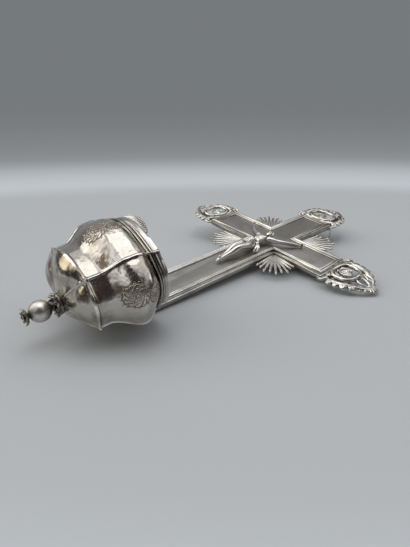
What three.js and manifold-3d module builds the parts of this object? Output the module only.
// Holy water font of sheet and cast silver: a crucifix above a panelled bowl, made to hang on a wall.
// Millimetres. +X runs to the arm at the viewer's right, +Y to the head, +Z out of the front.
// The origin lies on the flat back of the cross, behind the middle of the crossing.
import * as THREE from 'three';
import { mergeVertices } from 'three/addons/utils/BufferGeometryUtils.js';
import Module from 'manifold-3d';

const wasm = await Module();
wasm.setup();

// Clearances between pieces
const seat = 0.05; // between flat faces that lie on each other
const joint = 0.3; // between curved or mitred faces that were soldered together
const running = 0.1; // round a pin that turns

// Cross
const armReach = 45; // from the crossing to the ridge at an arm's end, alike on both arms and the head
const barWidth = 20.8; // between the ridges of a bar
const ledge = 1.7; // plain edge of the plate outside the ridge
const plateThickness = 2.2; // at the ledge
const fieldRise = 0.8; // how far the field stands above the ledge
const ridgeRise = 2.0; // how far the border's ridge stands above the ledge
const borderWidth = 3.4; // from the border's foot outside to its inner bead
const shaftLap = 11.3; // how far the shaft runs on behind the bowl, from its mouth down

// Bowl, a panelled body with its finial axis along Y
const bowlTop = 101.7; // from the crossing down to the bowl's mouth
const bowlWaist = 133.6; // down to the sharp ridge where the two halves meet
const bowlFloor = 140.6; // down to the seat of the finial
const bowlWall = 1.0;
const frontHalf = 15.9; // half the front panel's width at the ridge
const sideHalf = 22.2; // half the greatest width at the ridge
const backHalf = 8.5; // half the width of the flat back, at the mouth
const frontDepth = 29.3; // front corners above the bowl's flat back, at the ridge
const sideDepth = 8.8; // side corners above the bowl's flat back
const frontSpread = new THREE.Vector2(3.2, 2.4); // how far a front corner moves out up to the mouth
const frontBelly = new THREE.Vector2(2.7, 4.3); // and how far more it swells at the fullest part
const sideSpread = new THREE.Vector2(0.3, 0);
const sideBelly = new THREE.Vector2(8.2, -1.1);
const frontBow = [4.4, 6.9]; // how far the front panel bows out between its corners, at ridge and mouth
const sideBow = [4.4, 5.4]; // and each side panel
const bellyBow = 0.9; // how far more they bow at the fullest part
const backTuck = new THREE.Vector2(-4.5, 1.8); // how far the flat back's lower corners are drawn in
const neckShare = 0.16; // share of the way from ridge to mouth at which the belly begins
const bellyShare = 0.535; // at which it is fullest
const shoulderShare = 0.677; // and at which its front starts to draw in again
const lobeDepth = 2.6; // fullness of the pillowed lobes under the ridge
const backPlate = 1.0; // mounting plate between bowl and shaft
const rimHeight = 4.7;
const rimReach = 1.6; // projection of the rim's flange
const crestWidth = 21;
const crestHeight = 2.8;
const crestThickness = 1.2;
const crestLean = 1.2; // how far the crest's top leans forward
const crestNotches = 20;

// Finial
const finialLift = 12.1; // finial axis above the bowl's flat back
const stemRadius = 2.2;
const stemLength = 3.6;
const calyxReach = 5.8;
const calyxLeaves = 8;
const fruitRadius = 4.9;
const crownReach = 3.0; // length of a sepal
const crownSepals = 6;

// Rivets that hold the bowl on the shaft
const rivetShank = 1.2;
const rivetHead = 2.4;
const rivetDome = 0.9;
const rivetShares = [0.29, 0.87]; // places on the shaft's lap

// Cast terminals
const terminalLength = 28.0; // from the arm's end to the tip
const terminalHalf = 14.6; // half the width over the leafage
const hoopLength = 6.6; // half axis along the arm
const hoopWidth = 8.2; // half axis across it
const hoopWire = 0.95;
const terminalDroop = 2.0; // how far the tip bends back

// Rays in the inner corners
const raysPerFan = 9;
const rayReach = 22.5; // from the corner to the tip of the middle ray
const raySpread = 78; // degrees between the outer rays
const rayThickness = 1.1;
const rayBall = 0.75;

// Corpus and its nails
const figureLength = 49; // crown of the head to the toes
const nailHead = 0.95;
const nailShank = 0.45;

// Hanging bail
const bailWire = 0.5;
const bailHalf = 12.2; // half the distance between the legs
const bailDrop = 9; // pivot to cross bar
const lugThickness = 1.2;

// Places worked out from the sizes above
const shaftFoot = bowlTop + shaftLap; // from the crossing to the lower end of the shaft
const rivetDown = rivetShares.map((share) => bowlTop + share * shaftLap);
const barHalf = barWidth / 2;
const plateHalf = barHalf + ledge;
const armEnd = armReach + ledge;
const borderFoot = 0.55 * ledge; // outer foot of the border, outside the ridge
const fieldTop = plateThickness + fieldRise;
const ridgeTop = plateThickness + ridgeRise;
const bowlBack = ridgeTop + seat + backPlate + seat;
const finialZ = bowlBack + finialLift;
const mouthY = -bowlTop;
const waistY = -bowlWaist;
const floorY = -bowlFloor;

const silver = new THREE.Color(0.76, 0.75, 0.72);
const darkSilver = new THREE.Color(0.6, 0.6, 0.6);
const bright = new THREE.MeshStandardMaterial({ color: silver, roughness: 0.22, metalness: 1 });
const cast = new THREE.MeshStandardMaterial({ color: silver, roughness: 0.32, metalness: 1 });
const matted = new THREE.MeshStandardMaterial({ color: darkSilver, roughness: 0.55, metalness: 1 });

const font = new THREE.Group();

function piece(name, geometry, material, place = {}) {
  const mesh = new THREE.Mesh(geometry, material);
  mesh.name = name;
  mesh.position.set(place.x ?? 0, place.y ?? 0, place.z ?? 0);
  mesh.rotation.set(0, 0, place.turn ?? 0);
  font.add(mesh);
  return mesh;
}

// Shape tools

function bare(geometry) {
  const clean = geometry.clone();
  clean.deleteAttribute('normal');
  clean.deleteAttribute('uv');
  return mergeVertices(clean, 1e-4);
}

function toSolid(geometry) {
  const merged = bare(geometry);
  return new wasm.Manifold(new wasm.Mesh({
    numProp: 3,
    vertProperties: new Float32Array(merged.attributes.position.array),
    triVerts: new Uint32Array(merged.index.array),
  }));
}

function fromSolid(solid) {
  const mesh = solid.getMesh();
  const geometry = new THREE.BufferGeometry();
  geometry.setAttribute('position', new THREE.BufferAttribute(mesh.vertProperties, 3));
  geometry.setIndex(new THREE.BufferAttribute(mesh.triVerts, 1));
  return geometry;
}

function join(geometries) {
  return fromSolid(geometries.map(toSolid).reduce((whole, part) => whole.add(part)));
}

function cut(geometry, tools) {
  return fromSolid(tools.map(toSolid).reduce((whole, tool) => whole.subtract(tool), toSolid(geometry)));
}

function outward(geometry) {
  const p = geometry.attributes.position;
  const index = geometry.index.array;
  const [a, b, c] = [new THREE.Vector3(), new THREE.Vector3(), new THREE.Vector3()];
  let volume = 0;
  for (let i = 0; i < index.length; i += 3) {
    a.fromBufferAttribute(p, index[i]);
    b.fromBufferAttribute(p, index[i + 1]);
    c.fromBufferAttribute(p, index[i + 2]);
    volume += a.dot(b.cross(c));
  }
  if (volume < 0) {
    for (let i = 0; i < index.length; i += 3) {
      [index[i], index[i + 1]] = [index[i + 1], index[i]];
    }
  }
  return geometry;
}

// Triangles that fill a ring, turned the way that the ring runs
function fill(ring) {
  const normal = new THREE.Vector3();
  ring.forEach((at, i) => normal.add(at.clone().cross(ring[(i + 1) % ring.length])));
  const u = new THREE.Vector3(normal.z, normal.x, normal.y).cross(normal).normalize();
  const v = normal.clone().normalize().cross(u);
  const flat = ring.map((at) => new THREE.Vector2(at.dot(u), at.dot(v)));
  return THREE.ShapeUtils.triangulateShape(flat, []).map(([a, b, c]) => {
    const turn = flat[b].clone().sub(flat[a]).cross(flat[c].clone().sub(flat[a]));
    return turn > 0 ? [a, b, c] : [a, c, b];
  });
}

// Skins a run of rings, each a list of as many points. A looped run closes on itself, any other gets caps.
function loft(rings, looped = false) {
  const count = rings[0].length;
  const points = rings.flat();
  const faces = [];
  const runs = looped ? rings.length : rings.length - 1;
  for (let r = 0; r < runs; r += 1) {
    const next = (r + 1) % rings.length;
    for (let i = 0; i < count; i += 1) {
      const j = (i + 1) % count;
      const [a, b, c, d] = [r * count + i, r * count + j, next * count + j, next * count + i];
      faces.push(a, b, c, a, c, d);
    }
  }
  if (!looped) {
    const last = (rings.length - 1) * count;
    fill(rings[0]).forEach(([a, b, c]) => faces.push(a, c, b));
    fill(rings.at(-1)).forEach(([a, b, c]) => faces.push(last + a, last + b, last + c));
  }
  const geometry = new THREE.BufferGeometry().setFromPoints(points);
  geometry.setIndex(new THREE.BufferAttribute(new Uint32Array(faces), 1));
  return outward(geometry);
}

// A rod along a smooth curve, with a radius at each of its points; flat below 1 squeezes it in Z.
function rod(points, radii, sides = 6, steps = 8, flat = 1) {
  const curve = new THREE.CatmullRomCurve3(points.map((p) => new THREE.Vector3(...p)));
  const rings = [];
  const side = new THREE.Vector3();
  const up = new THREE.Vector3();
  for (let s = 0; s <= steps; s += 1) {
    const t = s / steps;
    const along = curve.getTangent(t);
    const at = curve.getPoint(t);
    const slot = Math.min(t * (radii.length - 1), radii.length - 1 - 1e-6);
    const i = Math.floor(slot);
    const radius = THREE.MathUtils.lerp(radii[i], radii[i + 1], slot - i);
    side.crossVectors(Math.abs(along.z) > 0.9 ? new THREE.Vector3(0, 1, 0) : new THREE.Vector3(0, 0, 1), along);
    side.normalize();
    up.crossVectors(along, side);
    const ring = [];
    for (let k = 0; k < sides; k += 1) {
      const angle = (2 * Math.PI * (k + 0.5)) / sides;
      ring.push(at.clone()
        .addScaledVector(side, radius * Math.cos(angle))
        .addScaledVector(up, radius * flat * Math.sin(angle)));
    }
    rings.push(ring);
  }
  return loft(rings);
}

function ball(x, y, z, rx, ry = rx, rz = rx, around = 8, rows = 6) {
  const geometry = new THREE.SphereGeometry(1, around, rows);
  geometry.rotateX(Math.PI / 2);
  geometry.scale(rx, ry, rz);
  geometry.translate(x, y, z);
  return geometry;
}

function leaf(length, width, thickness, rise, curveSegments = 4) {
  const shape = new THREE.Shape();
  shape.moveTo(0, 0);
  shape.quadraticCurveTo(width * 0.75, length * 0.35, 0, length);
  shape.quadraticCurveTo(-width * 0.75, length * 0.35, 0, 0);
  const geometry = new THREE.ExtrudeGeometry(shape, { depth: thickness, bevelEnabled: false, curveSegments });
  const p = geometry.attributes.position;
  for (let i = 0; i < p.count; i += 1) {
    p.setZ(i, p.getZ(i) + rise * (p.getY(i) / length) ** 2);
  }
  return geometry;
}

// Sweeps a profile along a flat path. Corner k has its place and its mitre, the way that an offset of 1 moves it.
function mitredStrip(corners, profile, lay) {
  return loft(corners.map(({ at, mitre }) => profile.map(([out, rise]) => lay(
    at.x + mitre.x * out,
    at.y + mitre.y * out,
    rise,
  ))));
}

function mitres(path, first, last) {
  return path.map((at, i) => {
    if (i === 0) return { at, mitre: first };
    if (i === path.length - 1) return { at, mitre: last };
    const before = at.clone().sub(path[i - 1]).normalize();
    const after = path[i + 1].clone().sub(at).normalize();
    const normal = new THREE.Vector2(before.y, -before.x);
    const next = new THREE.Vector2(after.y, -after.x);
    const mitre = normal.clone().add(next);
    return { at, mitre: mitre.multiplyScalar(1 / (1 + normal.dot(next))) };
  });
}

// The cross plate: a flat edge all round, and the field raised inside it

function crossOutline(half, reach, foot) {
  const shape = new THREE.Shape();
  shape.moveTo(-half, -foot);
  shape.lineTo(half, -foot);
  shape.lineTo(half, -half);
  shape.lineTo(reach, -half);
  shape.lineTo(reach, half);
  shape.lineTo(half, half);
  shape.lineTo(half, reach);
  shape.lineTo(-half, reach);
  shape.lineTo(-half, half);
  shape.lineTo(-reach, half);
  shape.lineTo(-reach, -half);
  shape.lineTo(-half, -half);
  shape.closePath();
  return shape;
}

// A rivet's hole, countersunk from behind
function rivetHole(down) {
  const reach = bowlBack + 4 * bowlWall;
  const tool = new THREE.LatheGeometry([
    new THREE.Vector2(0, -bowlWall),
    new THREE.Vector2(rivetHead + joint, -bowlWall),
    new THREE.Vector2(rivetHead + joint, 0),
    new THREE.Vector2(rivetShank + running, 0.5 * plateThickness),
    new THREE.Vector2(rivetShank + running, reach),
    new THREE.Vector2(0, reach),
  ], 12);
  tool.rotateX(Math.PI / 2);
  tool.translate(0, -down, 0);
  return tool;
}

function crossPlate() {
  const base = new THREE.ExtrudeGeometry(
    crossOutline(plateHalf, armEnd, shaftFoot),
    { depth: plateThickness, bevelEnabled: false },
  );
  const inner = barHalf + borderFoot - borderWidth - joint;
  const field = new THREE.ExtrudeGeometry(
    crossOutline(inner, armReach + inner - barHalf, shaftFoot),
    { depth: fieldRise + plateThickness / 2, bevelEnabled: false },
  );
  field.translate(0, 0, plateThickness / 2);
  return cut(join([base, field]), rivetDown.map(rivetHole));
}

piece('cross_plate', crossPlate(), matted);

// The moulded border: a ridge with an inner bead, in four mitred strips
const borderProfile = [
  [borderFoot, 0],
  [borderFoot, 0.5 * ridgeRise],
  [0.25, ridgeRise],
  [-0.3, ridgeRise],
  [-0.9, 0.72 * ridgeRise],
  [borderFoot - borderWidth + 0.7, 0.6 * ridgeRise],
  [borderFoot - borderWidth + 0.35, 0.72 * ridgeRise],
  [borderFoot - borderWidth, 0.5 * ridgeRise],
  [borderFoot - borderWidth, 0],
];

function borderStrip(path, first, last) {
  const lift = plateThickness + seat;
  return mitredStrip(mitres(path, first, last), borderProfile, (x, y, rise) => new THREE.Vector3(x, y, lift + rise));
}

const mitreGap = joint / 2;
for (const [name, turn] of [['border_head', 0], ['border_left', Math.PI / 2], ['border_right', -Math.PI / 2]]) {
  const path = [
    new THREE.Vector2(barHalf, barHalf + mitreGap),
    new THREE.Vector2(barHalf, armReach),
    new THREE.Vector2(-barHalf, armReach),
    new THREE.Vector2(-barHalf, barHalf + mitreGap),
  ];
  const geometry = borderStrip(path, new THREE.Vector2(1, 1), new THREE.Vector2(-1, 1));
  piece(name, geometry, bright, { turn });
}

for (const [name, side] of [['border_shaft_left', -1], ['border_shaft_right', 1]]) {
  const path = [
    new THREE.Vector2(side * barHalf, -barHalf - mitreGap),
    new THREE.Vector2(side * barHalf, -shaftFoot),
  ];
  const geometry = borderStrip(path, new THREE.Vector2(side, -1), new THREE.Vector2(side, 0));
  piece(name, geometry, bright);
}

// The bowl's plan: six corners, which spread towards the mouth and swell in between

const bowlRise = bowlWaist - bowlTop;

function level(y) {
  return (y - waistY) / (mouthY - waistY);
}

// From 0 at the neck to 1 at the belly, and back to 0 between a level that is still full and the mouth
function swell(y, full) {
  const rise = THREE.MathUtils.smoothstep(level(y), neckShare, bellyShare);
  return rise * (1 - THREE.MathUtils.smoothstep(level(y), full, 1));
}

function bowlCorners(y) {
  const front = new THREE.Vector2(frontHalf, frontDepth);
  front.addScaledVector(frontSpread, level(y)).addScaledVector(frontBelly, swell(y, shoulderShare));
  const side = new THREE.Vector2(sideHalf, sideDepth);
  side.addScaledVector(sideSpread, level(y)).addScaledVector(sideBelly, swell(y, bellyShare));
  const back = new THREE.Vector2(backHalf, 0).addScaledVector(
    backTuck,
    THREE.MathUtils.smoothstep(1 - level(y), 1 - bellyShare, 1),
  );
  const right = [front, side, back];
  const left = right.map((at) => new THREE.Vector2(-at.x, at.y)).reverse();
  return [...left, ...right];
}

function inset(corners, wall) {
  return corners.map((at, i) => {
    const before = at.clone().sub(corners.at(i - 1)).normalize();
    const after = corners[(i + 1) % corners.length].clone().sub(at).normalize();
    const normal = new THREE.Vector2(before.y, -before.x);
    const next = new THREE.Vector2(after.y, -after.x);
    const mitre = normal.clone().add(next).multiplyScalar(wall / (1 + normal.dot(next)));
    return at.clone().add(mitre);
  });
}

// The plan's sides in turn, with their steps: a short back panel, a side, the front, a side, a short
// back panel and the flat back
const sides = [
  { steps: 2 },
  { steps: 5, bow: sideBow },
  { steps: 6, bow: frontBow },
  { steps: 5, bow: sideBow },
  { steps: 2 },
  { steps: 2 },
];

function walk(corners, y) {
  const points = [];
  sides.forEach(({ steps, bow }, side) => {
    const at = corners[side];
    const next = corners[(side + 1) % corners.length];
    const run = next.clone().sub(at).normalize();
    const out = new THREE.Vector2(-run.y, run.x);
    const bulge = bow ? THREE.MathUtils.lerp(...bow, level(y)) + bellyBow * swell(y, shoulderShare) : 0;
    for (let i = 0; i < steps; i += 1) {
      const middle = bow ? Math.sin((Math.PI * i) / steps) : 0;
      points.push({ point: at.clone().lerp(next, i / steps).addScaledVector(out, bulge * middle), middle });
    }
  });
  return points;
}

function bowlRing(t, wall) {
  const y = THREE.MathUtils.lerp(waistY, mouthY, t);
  const corners = bowlCorners(y);
  return walk(wall ? inset(corners, wall) : corners, y)
    .map(({ point }) => new THREE.Vector3(point.x, y, bowlBack + point.y));
}

function bowlUpper() {
  const rows = 12;
  const outside = Array.from({ length: rows + 1 }, (_, i) => bowlRing(i / rows, 0));
  const inside = Array.from({ length: rows + 1 }, (_, i) => bowlRing(1 - i / rows, bowlWall));
  return cut(loft([...outside, ...inside], true), rivetDown.map(rivetHole));
}

piece('bowl_upper', bowlUpper(), bright);

// The lower half: pillowed lobes that run in to the finial's seat

function lobeRing(t, wall) {
  const corners = bowlCorners(waistY);
  const rim = walk(wall ? inset(corners, wall) : corners, waistY);
  const drop = (bowlFloor - bowlWaist - seat - wall) * t ** 0.85;
  const neck = stemRadius + 2 * bowlWall - wall;
  const lobe = lobeDepth * Math.sin(Math.PI * t ** 0.62) * (1 - t ** 6);
  return rim.map(({ point, middle }) => {
    const angle = Math.atan2(point.y - finialLift, point.x);
    const end = new THREE.Vector2(neck * Math.cos(angle), finialLift + neck * Math.sin(angle));
    const plan = point.clone().lerp(end, t);
    return new THREE.Vector3(plan.x, waistY - seat - drop - lobe * middle ** 0.8, bowlBack + plan.y);
  });
}

function bowlLower() {
  const rows = 8;
  const outside = Array.from({ length: rows + 1 }, (_, i) => lobeRing(1 - i / rows, 0));
  const inside = Array.from({ length: rows + 1 }, (_, i) => lobeRing(i / rows, bowlWall));
  return loft([...outside, ...inside]);
}

piece('bowl_lower', bowlLower(), bright);

// The mounting plate between the bowl's back and the shaft's border

function bowlBackPlate() {
  const height = 1.3 * shaftLap;
  const plate = new THREE.BoxGeometry(2 * backHalf, height, backPlate);
  plate.translate(0, mouthY - height / 2, ridgeTop + seat + backPlate / 2);
  return cut(plate, rivetDown.map(rivetHole));
}

piece('bowl_back_plate', bowlBackPlate(), matted);

// The rim: fine steps under a flange that covers the lip of the bowl

function rimMoulding() {
  const low = mouthY - rimHeight;
  const profile = [
    [joint, 0],
    [1.1, 0],
    [1.25, 0.06 * rimHeight],
    [0.75, 0.2 * rimHeight],
    [0.8, 0.38 * rimHeight],
    [1.3, 0.42 * rimHeight],
    [1.3, 0.5 * rimHeight],
    [0.95, 0.54 * rimHeight],
    [0.95, 0.62 * rimHeight],
    [1.5, 0.7 * rimHeight],
    [1.5, 0.78 * rimHeight],
    [rimReach, 0.86 * rimHeight],
    [rimReach, rimHeight + bowlWall],
    [-bowlWall, rimHeight + bowlWall],
    [-bowlWall, rimHeight + seat],
    [joint, rimHeight + seat],
  ];
  const rows = profile.map(([out, rise]) => {
    const y = Math.min(low + rise, mouthY);
    const path = inset(bowlCorners(y), -out);
    path[0].lerp(path[1], (joint - path[0].y) / (path[1].y - path[0].y));
    path[5].lerp(path[4], (joint - path[5].y) / (path[4].y - path[5].y));
    return walk(path, y)
      .slice(0, 1 - sides[5].steps)
      .map(({ point }) => new THREE.Vector3(point.x, low + rise, bowlBack + point.y));
  });
  const rings = rows[0].map((_, corner) => rows.map((row) => row[corner]));
  return loft(rings);
}

piece('rim_moulding', rimMoulding(), bright);

// The crest: an arched strip with a crimped edge, standing on the front of the rim

const mouthCorner = bowlCorners(mouthY)[3];

function crestShape() {
  const shape = new THREE.Shape();
  const half = crestWidth / 2;
  shape.moveTo(-half, 0);
  const steps = 2 * crestNotches;
  for (let i = 0; i <= steps; i += 1) {
    const angle = Math.PI * (1 - i / steps);
    const notch = i % 2 === 0 ? 1 : 0.93;
    shape.lineTo(half * notch * Math.cos(angle), crestHeight * notch * Math.sin(angle) + 0.4);
  }
  shape.lineTo(half, 0);
  shape.closePath();
  return shape;
}

function crest() {
  const geometry = new THREE.ExtrudeGeometry(crestShape(), { depth: crestThickness, bevelEnabled: false });
  const p = geometry.attributes.position;
  for (let i = 0; i < p.count; i += 1) {
    const away = Math.cos((Math.PI * p.getX(i)) / (2 * mouthCorner.x)) - 1;
    p.setZ(i, p.getZ(i) + crestLean * (p.getY(i) / crestHeight) ** 1.5 + frontBow[1] * away);
  }
  return geometry;
}

piece('rim_crest', crest(), cast, {
  y: mouthY + bowlWall + seat,
  z: bowlBack + mouthCorner.y + frontBow[1] + rimReach - crestThickness,
});

// Rivets through shaft, mounting plate and the bowl's back wall

function rivet() {
  const inside = bowlBack + bowlWall + seat;
  const points = [
    new THREE.Vector2(0, 0),
    new THREE.Vector2(rivetHead, 0),
    new THREE.Vector2(rivetShank, 0.5 * plateThickness - joint),
    new THREE.Vector2(rivetShank, inside),
    new THREE.Vector2(rivetHead, inside),
    new THREE.Vector2(0.7 * rivetHead, inside + 0.7 * rivetDome),
    new THREE.Vector2(0, inside + rivetDome),
  ];
  const geometry = new THREE.LatheGeometry(points, 12);
  geometry.rotateX(Math.PI / 2);
  return geometry;
}

rivetDown.forEach((down, i) => piece(['rivet_upper', 'rivet_lower'][i], rivet(), cast, { y: -down }));

// Finial: stem with a collar, a whorl of leaves, the fruit and its crown of sepals

function turned(points, around) {
  return new THREE.LatheGeometry(points.map(([r, along]) => new THREE.Vector2(r, -along)).reverse(), around);
}

function finialPiece(name, geometry, material, down) {
  piece(name, geometry, material, { y: -down, z: finialZ });
}

const fruitDown = bowlFloor + stemLength + fruitRadius;
const cup = 0.35 * fruitRadius; // how deep the fruit's seat on the stem is, along the axis

function stem() {
  return turned([
    [0, seat],
    [stemRadius + 1.0, seat],
    [stemRadius + 1.0, 0.25 * stemLength],
    [stemRadius - 0.5, 0.5 * stemLength],
    [stemRadius - 0.5, 0.75 * stemLength],
    [stemRadius, 0.8 * stemLength],
    [stemRadius, stemLength],
    [0, stemLength],
  ], 14);
}

finialPiece('finial_stem', stem(), cast, bowlFloor);

// Leaves lie against the lobes with their points turned away from the bowl
function calyx() {
  const ringRadius = stemRadius + 1.0 + joint;
  const parts = [];
  const collar = turned([
    [ringRadius, seat],
    [ringRadius + 1.4, seat],
    [ringRadius + 1.4, 0.32 * stemLength],
    [ringRadius, 0.32 * stemLength],
    [ringRadius, seat],
  ], 16);
  parts.push(collar);
  for (let i = 0; i < calyxLeaves; i += 1) {
    const blade = leaf(calyxReach - ringRadius, 3.6, 0.6, 0.9, 3);
    blade.rotateX(0.2);
    blade.translate(0, ringRadius + 0.5, 0);
    blade.rotateX(Math.PI / 2);
    blade.rotateY((2 * Math.PI * (i + 0.5)) / calyxLeaves);
    blade.translate(0, -seat - 0.1, 0);
    parts.push(blade);
  }
  return join(parts);
}

function fruit() {
  const points = [];
  const rows = 10;
  for (let i = 0; i <= rows; i += 1) {
    const angle = (Math.PI * i) / rows;
    const flatTop = Math.min(fruitRadius * Math.cos(angle), fruitRadius - 0.02);
    points.push([fruitRadius * Math.sin(angle), -flatTop]);
  }
  return turned(points, 16);
}

// Sepals stand in a ring round the fruit's end and spread away from it
function crown() {
  const ring = 0.3 * fruitRadius;
  const parts = [turned([
    [0, 0],
    [ring, 0],
    [ring + 0.2, 0.9],
    [0.5 * ring, 1.1],
    [0, 0.7],
  ], 12)];
  for (let i = 0; i < crownSepals; i += 1) {
    const sepal = leaf(crownReach, 2.9, 0.6, 0.6, 3);
    sepal.rotateX(Math.PI - 1.05);
    sepal.translate(0, -0.35, 0.8 * ring);
    sepal.rotateY((2 * Math.PI * i) / crownSepals);
    parts.push(sepal);
  }
  return join(parts);
}

finialPiece('calyx', calyx(), cast, bowlFloor);
finialPiece('fruit', fruit(), bright, fruitDown + seat);
finialPiece('fruit_crown', crown(), cast, fruitDown + fruitRadius + 2 * seat);

// Cast terminals, drawn with the arm's end along X and the tip up the page

function droop(u) {
  return terminalDroop * Math.max(0, (u - 0.5 * terminalLength) / (0.5 * terminalLength)) ** 1.5;
}

function bend(geometry) {
  const p = geometry.attributes.position;
  for (let i = 0; i < p.count; i += 1) {
    p.setZ(i, p.getZ(i) - droop(p.getY(i)));
  }
  return geometry;
}

const terminalBack = 0.3 * ridgeTop;

// Half of the leafage's outline, from the arm's end to the tip
const leafageCurve = new THREE.CatmullRomCurve3([
  new THREE.Vector3(0.93 * terminalHalf, -0.06 * terminalLength, 0),
  new THREE.Vector3(0.96 * terminalHalf, 0.1 * terminalLength, 0),
  new THREE.Vector3(0.97 * terminalHalf, 0.33 * terminalLength, 0),
  new THREE.Vector3(0.87 * terminalHalf, 0.54 * terminalLength, 0),
  new THREE.Vector3(0.56 * terminalHalf, 0.68 * terminalLength, 0),
  new THREE.Vector3(0.4 * terminalHalf, 0.83 * terminalLength, 0),
  new THREE.Vector3(0.07 * terminalHalf, 0.98 * terminalLength, 0),
]);

function leafage(depth) {
  const shape = new THREE.Shape();
  const steps = 18;
  const half = Array.from({ length: steps + 1 }, (_, i) => {
    const at = leafageCurve.getPoint(i / steps);
    const scallop = 0.045 * terminalHalf * Math.abs(Math.sin((4.5 * Math.PI * i) / steps));
    return new THREE.Vector2(at.x + scallop, at.y + 0.4 * scallop);
  });
  shape.moveTo(-half[0].x, half[0].y);
  shape.lineTo(-0.88 * terminalHalf, 0);
  shape.lineTo(0.88 * terminalHalf, 0);
  half.forEach((at) => shape.lineTo(at.x, at.y));
  half.slice(1).reverse().forEach((at) => shape.lineTo(-at.x, at.y));
  const eye = new THREE.Path();
  eye.absellipse(0, hoopAt, hoopWidth - 0.4, hoopLength - 0.4, 0, 2 * Math.PI, true);
  shape.holes.push(eye);
  for (const s of [-1, 1]) {
    const slot = new THREE.Path();
    slot.moveTo(s * 0.1 * terminalHalf, 0.6 * terminalLength);
    slot.quadraticCurveTo(s * 0.62 * terminalHalf, 0.56 * terminalLength, s * 0.3 * terminalHalf, 0.76 * terminalLength);
    slot.quadraticCurveTo(s * 0.12 * terminalHalf, 0.74 * terminalLength, s * 0.1 * terminalHalf, 0.6 * terminalLength);
    shape.holes.push(slot);
  }
  return new THREE.ExtrudeGeometry(shape, { depth, bevelEnabled: false, curveSegments: 3 });
}

const hoopAt = hoopLength + 1.3 * hoopWire;

function hoop(z) {
  const rings = [];
  const steps = 18;
  for (let s = 0; s < steps; s += 1) {
    const angle = (2 * Math.PI * s) / steps;
    const [c, n] = [Math.cos(angle), Math.sin(angle)];
    const square = 1 / (Math.abs(c) ** 2.6 + Math.abs(n) ** 2.6) ** (1 / 2.6);
    rings.push(Array.from({ length: 5 }, (_, k) => {
      const around = (2 * Math.PI * (k + 0.25)) / 5;
      const out = hoopWire * Math.cos(around);
      return new THREE.Vector3(
        (hoopWidth + out) * square * c,
        hoopAt + (hoopLength + out) * square * n,
        z + hoopWire * Math.sin(around),
      );
    }));
  }
  return loft(rings, true);
}

function terminal() {
  const web = 1.2;
  const low = terminalBack;
  const z = low + web;
  const high = z + 0.9;
  const [w, l] = [terminalHalf, terminalLength];
  const parts = [leafage(web).translate(0, 0, low), hoop(high)];
  const bud = leaf(1.15 * hoopLength, 5.2, 1.3, 0.7);
  bud.translate(0, 0.4 * hoopWire, z - 0.6);
  parts.push(bud, ball(0, 0.7 * hoopLength, z + 0.5, 1.7, 1.7, 1.1, 6, 3));
  for (const s of [-1, 1]) {
    parts.push(rod([
      [s * 0.3, 1.5, z],
      [s * 0.5 * w, 1.6, z + 0.3],
      [s * 0.86 * w, 3.2, z + 0.3],
      [s * 1.02 * w, 0.6, z],
      [s * 0.93 * w, -1.6, z - 0.4],
    ], [1.0, 1.1, 1.15, 0.9, 0.5], 4, 5));
    parts.push(ball(s * 0.57 * w, 2.4, high + 0.2, 1.45, 1.3, 1.2, 6, 3));
    parts.push(ball(s * 0.13 * w, hoopAt + hoopLength + 0.3, high + 0.2, 1.4, 1.3, 1.1, 6, 3));
    for (const [v, u, r] of [[0.9, 0.32, 2.5], [0.84, 0.5, 2.4]]) {
      parts.push(ball(s * v * w, u * l, z, r, 0.8 * r, 1.0, 6, 3));
    }
    parts.push(rod([
      [s * 0.6 * w, 0.55 * l, z + 0.2],
      [s * 0.55 * w, 0.66 * l, z + 0.1],
      [s * 0.36 * w, 0.78 * l, z],
      [s * 0.1 * w, 0.88 * l, z],
    ], [0.9, 1.0, 0.95, 0.7], 4, 4));
    parts.push(rod([
      [s * 0.08 * w, 0.55 * l, z + 0.6],
      [s * 0.16 * w, 0.66 * l, z + 0.2],
      [s * 0.06 * w, 0.84 * l, z],
    ], [0.8, 0.75, 0.7], 4, 2));
    parts.push(ball(s * 0.42 * w, 0.76 * l, z + 0.3, 1.2, 1.3, 1.0, 6, 3));
  }
  for (let i = -1; i <= 1; i += 1) {
    const swing = 0.5 * i;
    const reach = 0.19 * l * (1 - 0.18 * i * i);
    const from = 0.81 * l;
    parts.push(rod([
      [0.5 * i, from, z],
      [0.5 * i + 0.6 * reach * Math.sin(swing), from + 0.6 * reach * Math.cos(swing), z + 0.1],
      [0.5 * i + reach * Math.sin(swing), from + reach * Math.cos(swing), z - 0.3],
    ], [0.7, 1.1, 0.5], 4, 2, 0.8));
  }
  return bend(join(parts));
}

const terminalShape = terminal();
const terminalAt = armEnd + joint;
piece('terminal_head', terminalShape, cast, { y: terminalAt });
piece('terminal_left', terminalShape.clone(), cast, { x: -terminalAt, turn: Math.PI / 2 });
piece('terminal_right', terminalShape.clone(), cast, { x: terminalAt, turn: -Math.PI / 2 });

// Fans of rays, drawn in the corner between +X and +Y

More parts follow.
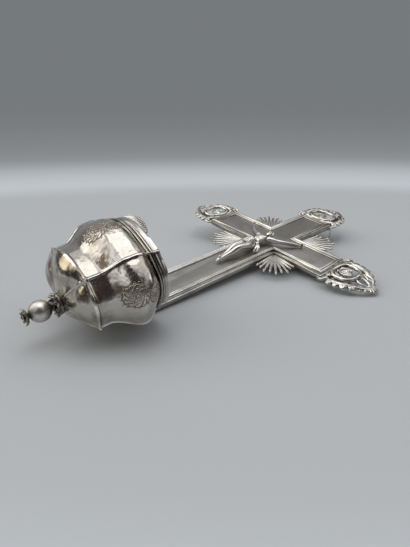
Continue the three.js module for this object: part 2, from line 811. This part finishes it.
function rayFan() {
  const corner = plateHalf + joint;
  const z = 0.5 * plateThickness;
  const web = new THREE.Shape();
  web.moveTo(corner, corner);
  const spread = THREE.MathUtils.degToRad(raySpread);
  const start = Math.PI / 4 - spread / 2;
  const webReach = 0.5 * rayReach;
  for (let i = 0; i <= 5; i += 1) {
    const angle = start + (spread * i) / 5;
    web.lineTo(corner + webReach * Math.cos(angle), corner + webReach * Math.sin(angle));
  }
  web.closePath();
  const base = new THREE.ExtrudeGeometry(web, { depth: 0.7 * rayThickness, bevelEnabled: false });
  base.translate(0, 0, z - 0.35 * rayThickness);
  const parts = [base];
  for (let i = 0; i < raysPerFan; i += 1) {
    const t = (2 * i) / (raysPerFan - 1) - 1;
    const angle = Math.PI / 4 + (t * spread) / 2.06;
    const reach = rayReach * (1 - 0.24 * t * t) * (i % 2 === 0 ? 1 : 0.93);
    const [c, n] = [Math.cos(angle), Math.sin(angle)];
    const along = [0.08, 0.5, 0.92, 1, 1.06].map((part) => [corner + part * reach * c, corner + part * reach * n, z]);
    const [thin, full] = [0.4 * rayThickness, 0.6 * rayThickness];
    parts.push(rod(along, [thin, full, thin, rayBall, 0.4 * rayBall], 4, 4));
  }
  return join(parts);
}

const fan = rayFan();
const fans = [['rays_upper_right', 0], ['rays_upper_left', 1], ['rays_lower_left', 2], ['rays_lower_right', 3]];
for (const [name, quarter] of fans) {
  piece(name, fan.clone(), cast, { turn: (quarter * Math.PI) / 2 });
}

// The corpus: a slender figure with its arms raised to the nails and its feet crossed on one

function corpus() {
  const k = figureLength / 49;
  const lie = fieldTop;
  const at = (x, y, z) => [x * k, y * k, lie + z * k];
  const blob = (x, y, z, rx, ry, rz, around = 7, rows = 4) => ball(...at(x, y, z), rx * k, ry * k, rz * k, around, rows);
  const limb = (points, radii, sides, steps, flat) => rod(
    points.map((p) => at(...p)),
    radii.map((r) => r * k),
    sides,
    steps,
    flat,
  );
  const parts = [];
  const torso = [[0, -8, 3.7], [0, -11.6, 3.9], [0.2, -16, 3.5], [0.4, -21, 3.7]];
  parts.push(limb(torso, [3.2, 3.9, 2.8, 3.5], 8, 6, 0.6));
  parts.push(blob(-3.6, -8.9, 3.7, 1.9, 1.7, 1.5), blob(3.6, -8.9, 3.7, 1.9, 1.7, 1.5));
  parts.push(limb([[0.2, -8.4, 3.7], [0.8, -6.6, 4.1], [1.2, -5, 4.4]], [1.4, 1.2, 1.2], 6, 2));
  parts.push(blob(1.5, -4.4, 4.7, 1.9, 2.4, 2.0, 8, 6));
  parts.push(blob(1.4, -3.2, 4.2, 2.2, 2.0, 2.0, 8, 4));
  parts.push(blob(3.0, -5.5, 3.9, 0.8, 2.0, 1.2, 6, 4), blob(-0.3, -5.3, 3.7, 0.8, 1.9, 1.1, 6, 4));
  parts.push(blob(1.6, -6.3, 5.7, 0.95, 1.1, 0.85, 6, 4));
  parts.push(blob(1.55, -5.0, 6.7, 0.32, 0.7, 0.45, 5, 3));
  for (const s of [-1, 1]) {
    parts.push(limb(
      [[s * 4.1, -8.6, 3.7], [s * 8.8, -6, 3.4], [s * 12.4, -3.6, 3.2], [s * 16, 0, 2.3], [s * 18.9, 2.9, 1.7]],
      [1.6, 1.3, 1.05, 1.1, 0.7],
      6,
      7,
    ));
    parts.push(limb(
      [[s * 18.7, 2.7, 1.7], [s * 20.2, 4.2, 1.5], [s * 21.4, 5.8, 1.6]],
      [0.8, 1.15, 0.5],
      5,
      2,
      0.6,
    ));
  }
  parts.push(limb(
    [[1.9, -21, 3.9], [3.1, -27, 5.6], [2.8, -32.6, 6.2], [1.8, -38.6, 4.0], [1.1, -45.2, 2.9]],
    [2.3, 2.1, 1.5, 1.45, 0.85],
    7,
    8,
  ));
  parts.push(limb(
    [[-1.5, -21, 3.7], [-1.9, -27, 5.2], [-1.6, -32.6, 5.6], [-0.8, -38.8, 3.6], [-0.2, -45.0, 2.5]],
    [2.3, 2.1, 1.45, 1.45, 0.85],
    7,
    8,
  ));
  parts.push(limb([[0.9, -44.6, 2.8], [0.6, -46.8, 2.3], [0.3, -49.0, 1.5]], [1.15, 1.3, 0.7], 6, 3, 0.75));
  const cloth = [[0.1, -17.8, 3.6], [0.3, -20, 3.9], [0.3, -23, 4.4], [0.4, -25.4, 5.0]];
  parts.push(limb(cloth, [3.2, 3.9, 4.1, 3.7], 10, 4, 0.72));
  parts.push(blob(4.2, -18.8, 4.2, 1.4, 1.3, 1.3, 6, 4));
  parts.push(limb([[4.2, -18.8, 4.0], [6.4, -20.4, 3.4], [8.2, -22.6, 1.8]], [1.0, 1.5, 1.0], 6, 4, 0.62));
  parts.push(limb([[4.2, -19.0, 4.0], [6.0, -21.8, 2.9], [6.6, -24.8, 1.6]], [0.9, 1.3, 0.9], 5, 3, 0.7));
  const figure = join(parts);
  return cut(figure, [...nailPlaces.map(([x, y]) => nailHole(x, y))]);
}

// Nails through the palms and through the crossed feet
const nailPlaces = [
  [-20.2, 4.2, 'nail_left_hand', 2.3],
  [20.2, 4.2, 'nail_right_hand', 2.3],
  [0.6, -46.6, 'nail_feet', 3.4],
];

function nailHole(x, y) {
  const k = figureLength / 49;
  const tool = new THREE.CylinderGeometry(nailShank + running, nailShank + running, 30, 10);
  tool.rotateX(Math.PI / 2);
  tool.translate(x * k, y * k, fieldTop);
  return tool;
}

function nail(length) {
  const geometry = new THREE.LatheGeometry([
    new THREE.Vector2(0, seat),
    new THREE.Vector2(nailShank, seat),
    new THREE.Vector2(nailShank, length),
    new THREE.Vector2(nailHead, length),
    new THREE.Vector2(0.8 * nailHead, length + 0.6 * nailHead),
    new THREE.Vector2(0, length + nailHead),
  ], 10);
  geometry.rotateX(Math.PI / 2);
  return geometry;
}

piece('corpus', corpus(), cast);
for (const [x, y, name, length] of nailPlaces) {
  const k = figureLength / 49;
  piece(name, nail(length * k + 0.4), bright, { x: x * k, y: y * k, z: fieldTop });
}

// Hanging bail and the two lugs that it swings in, behind the foot of the head terminal

const bailY = armEnd + joint + hoopWire + 0.4;
const lugX = bailHalf - bailWire - 0.35 - lugThickness / 2;
const lugTop = terminalBack - seat;
const pivotDrop = lugTop + bailWire + 0.15; // so that the bail folds flat behind the plate

function lug() {
  const shape = new THREE.Shape();
  const half = bailWire + running + 0.8;
  shape.moveTo(-half, 0);
  shape.lineTo(-half, -pivotDrop);
  shape.absarc(0, -pivotDrop, half, Math.PI, 2 * Math.PI, false);
  shape.lineTo(half, 0);
  shape.closePath();
  const hole = new THREE.Path();
  hole.absarc(0, -pivotDrop, bailWire + running, 0, 2 * Math.PI, true);
  shape.holes.push(hole);
  const geometry = new THREE.ExtrudeGeometry(shape, { depth: lugThickness, bevelEnabled: false, curveSegments: 8 });
  geometry.rotateX(Math.PI / 2);
  geometry.rotateZ(Math.PI / 2);
  geometry.translate(-lugThickness / 2, 0, 0);
  return geometry;
}

for (const [name, side] of [['bail_lug_left', -1], ['bail_lug_right', 1]]) {
  piece(name, lug(), cast, { x: side * lugX, y: bailY, z: lugTop });
}

function bail() {
  const inner = lugX - lugThickness / 2 - 0.5;
  const turn = 1.4;
  const half = [];
  half.push([inner, 0, 0], [lugX, 0, 0], [bailHalf - 0.6, 0, -0.05], [bailHalf, 0, -turn / 2]);
  half.push([bailHalf, 0, -bailDrop + turn], [bailHalf - 0.3 * turn, 0, -bailDrop + 0.3 * turn]);
  half.push([bailHalf - turn, 0, -bailDrop]);
  const other = half.map(([x, y, z]) => [-x, y, z]).reverse();
  const points = [...half, [0, 0, -bailDrop], ...other];
  return rod(points, points.map(() => bailWire), 6, 32);
}

piece('hanging_bail', bail(), bright, { y: bailY, z: lugTop - pivotDrop });

export default font;
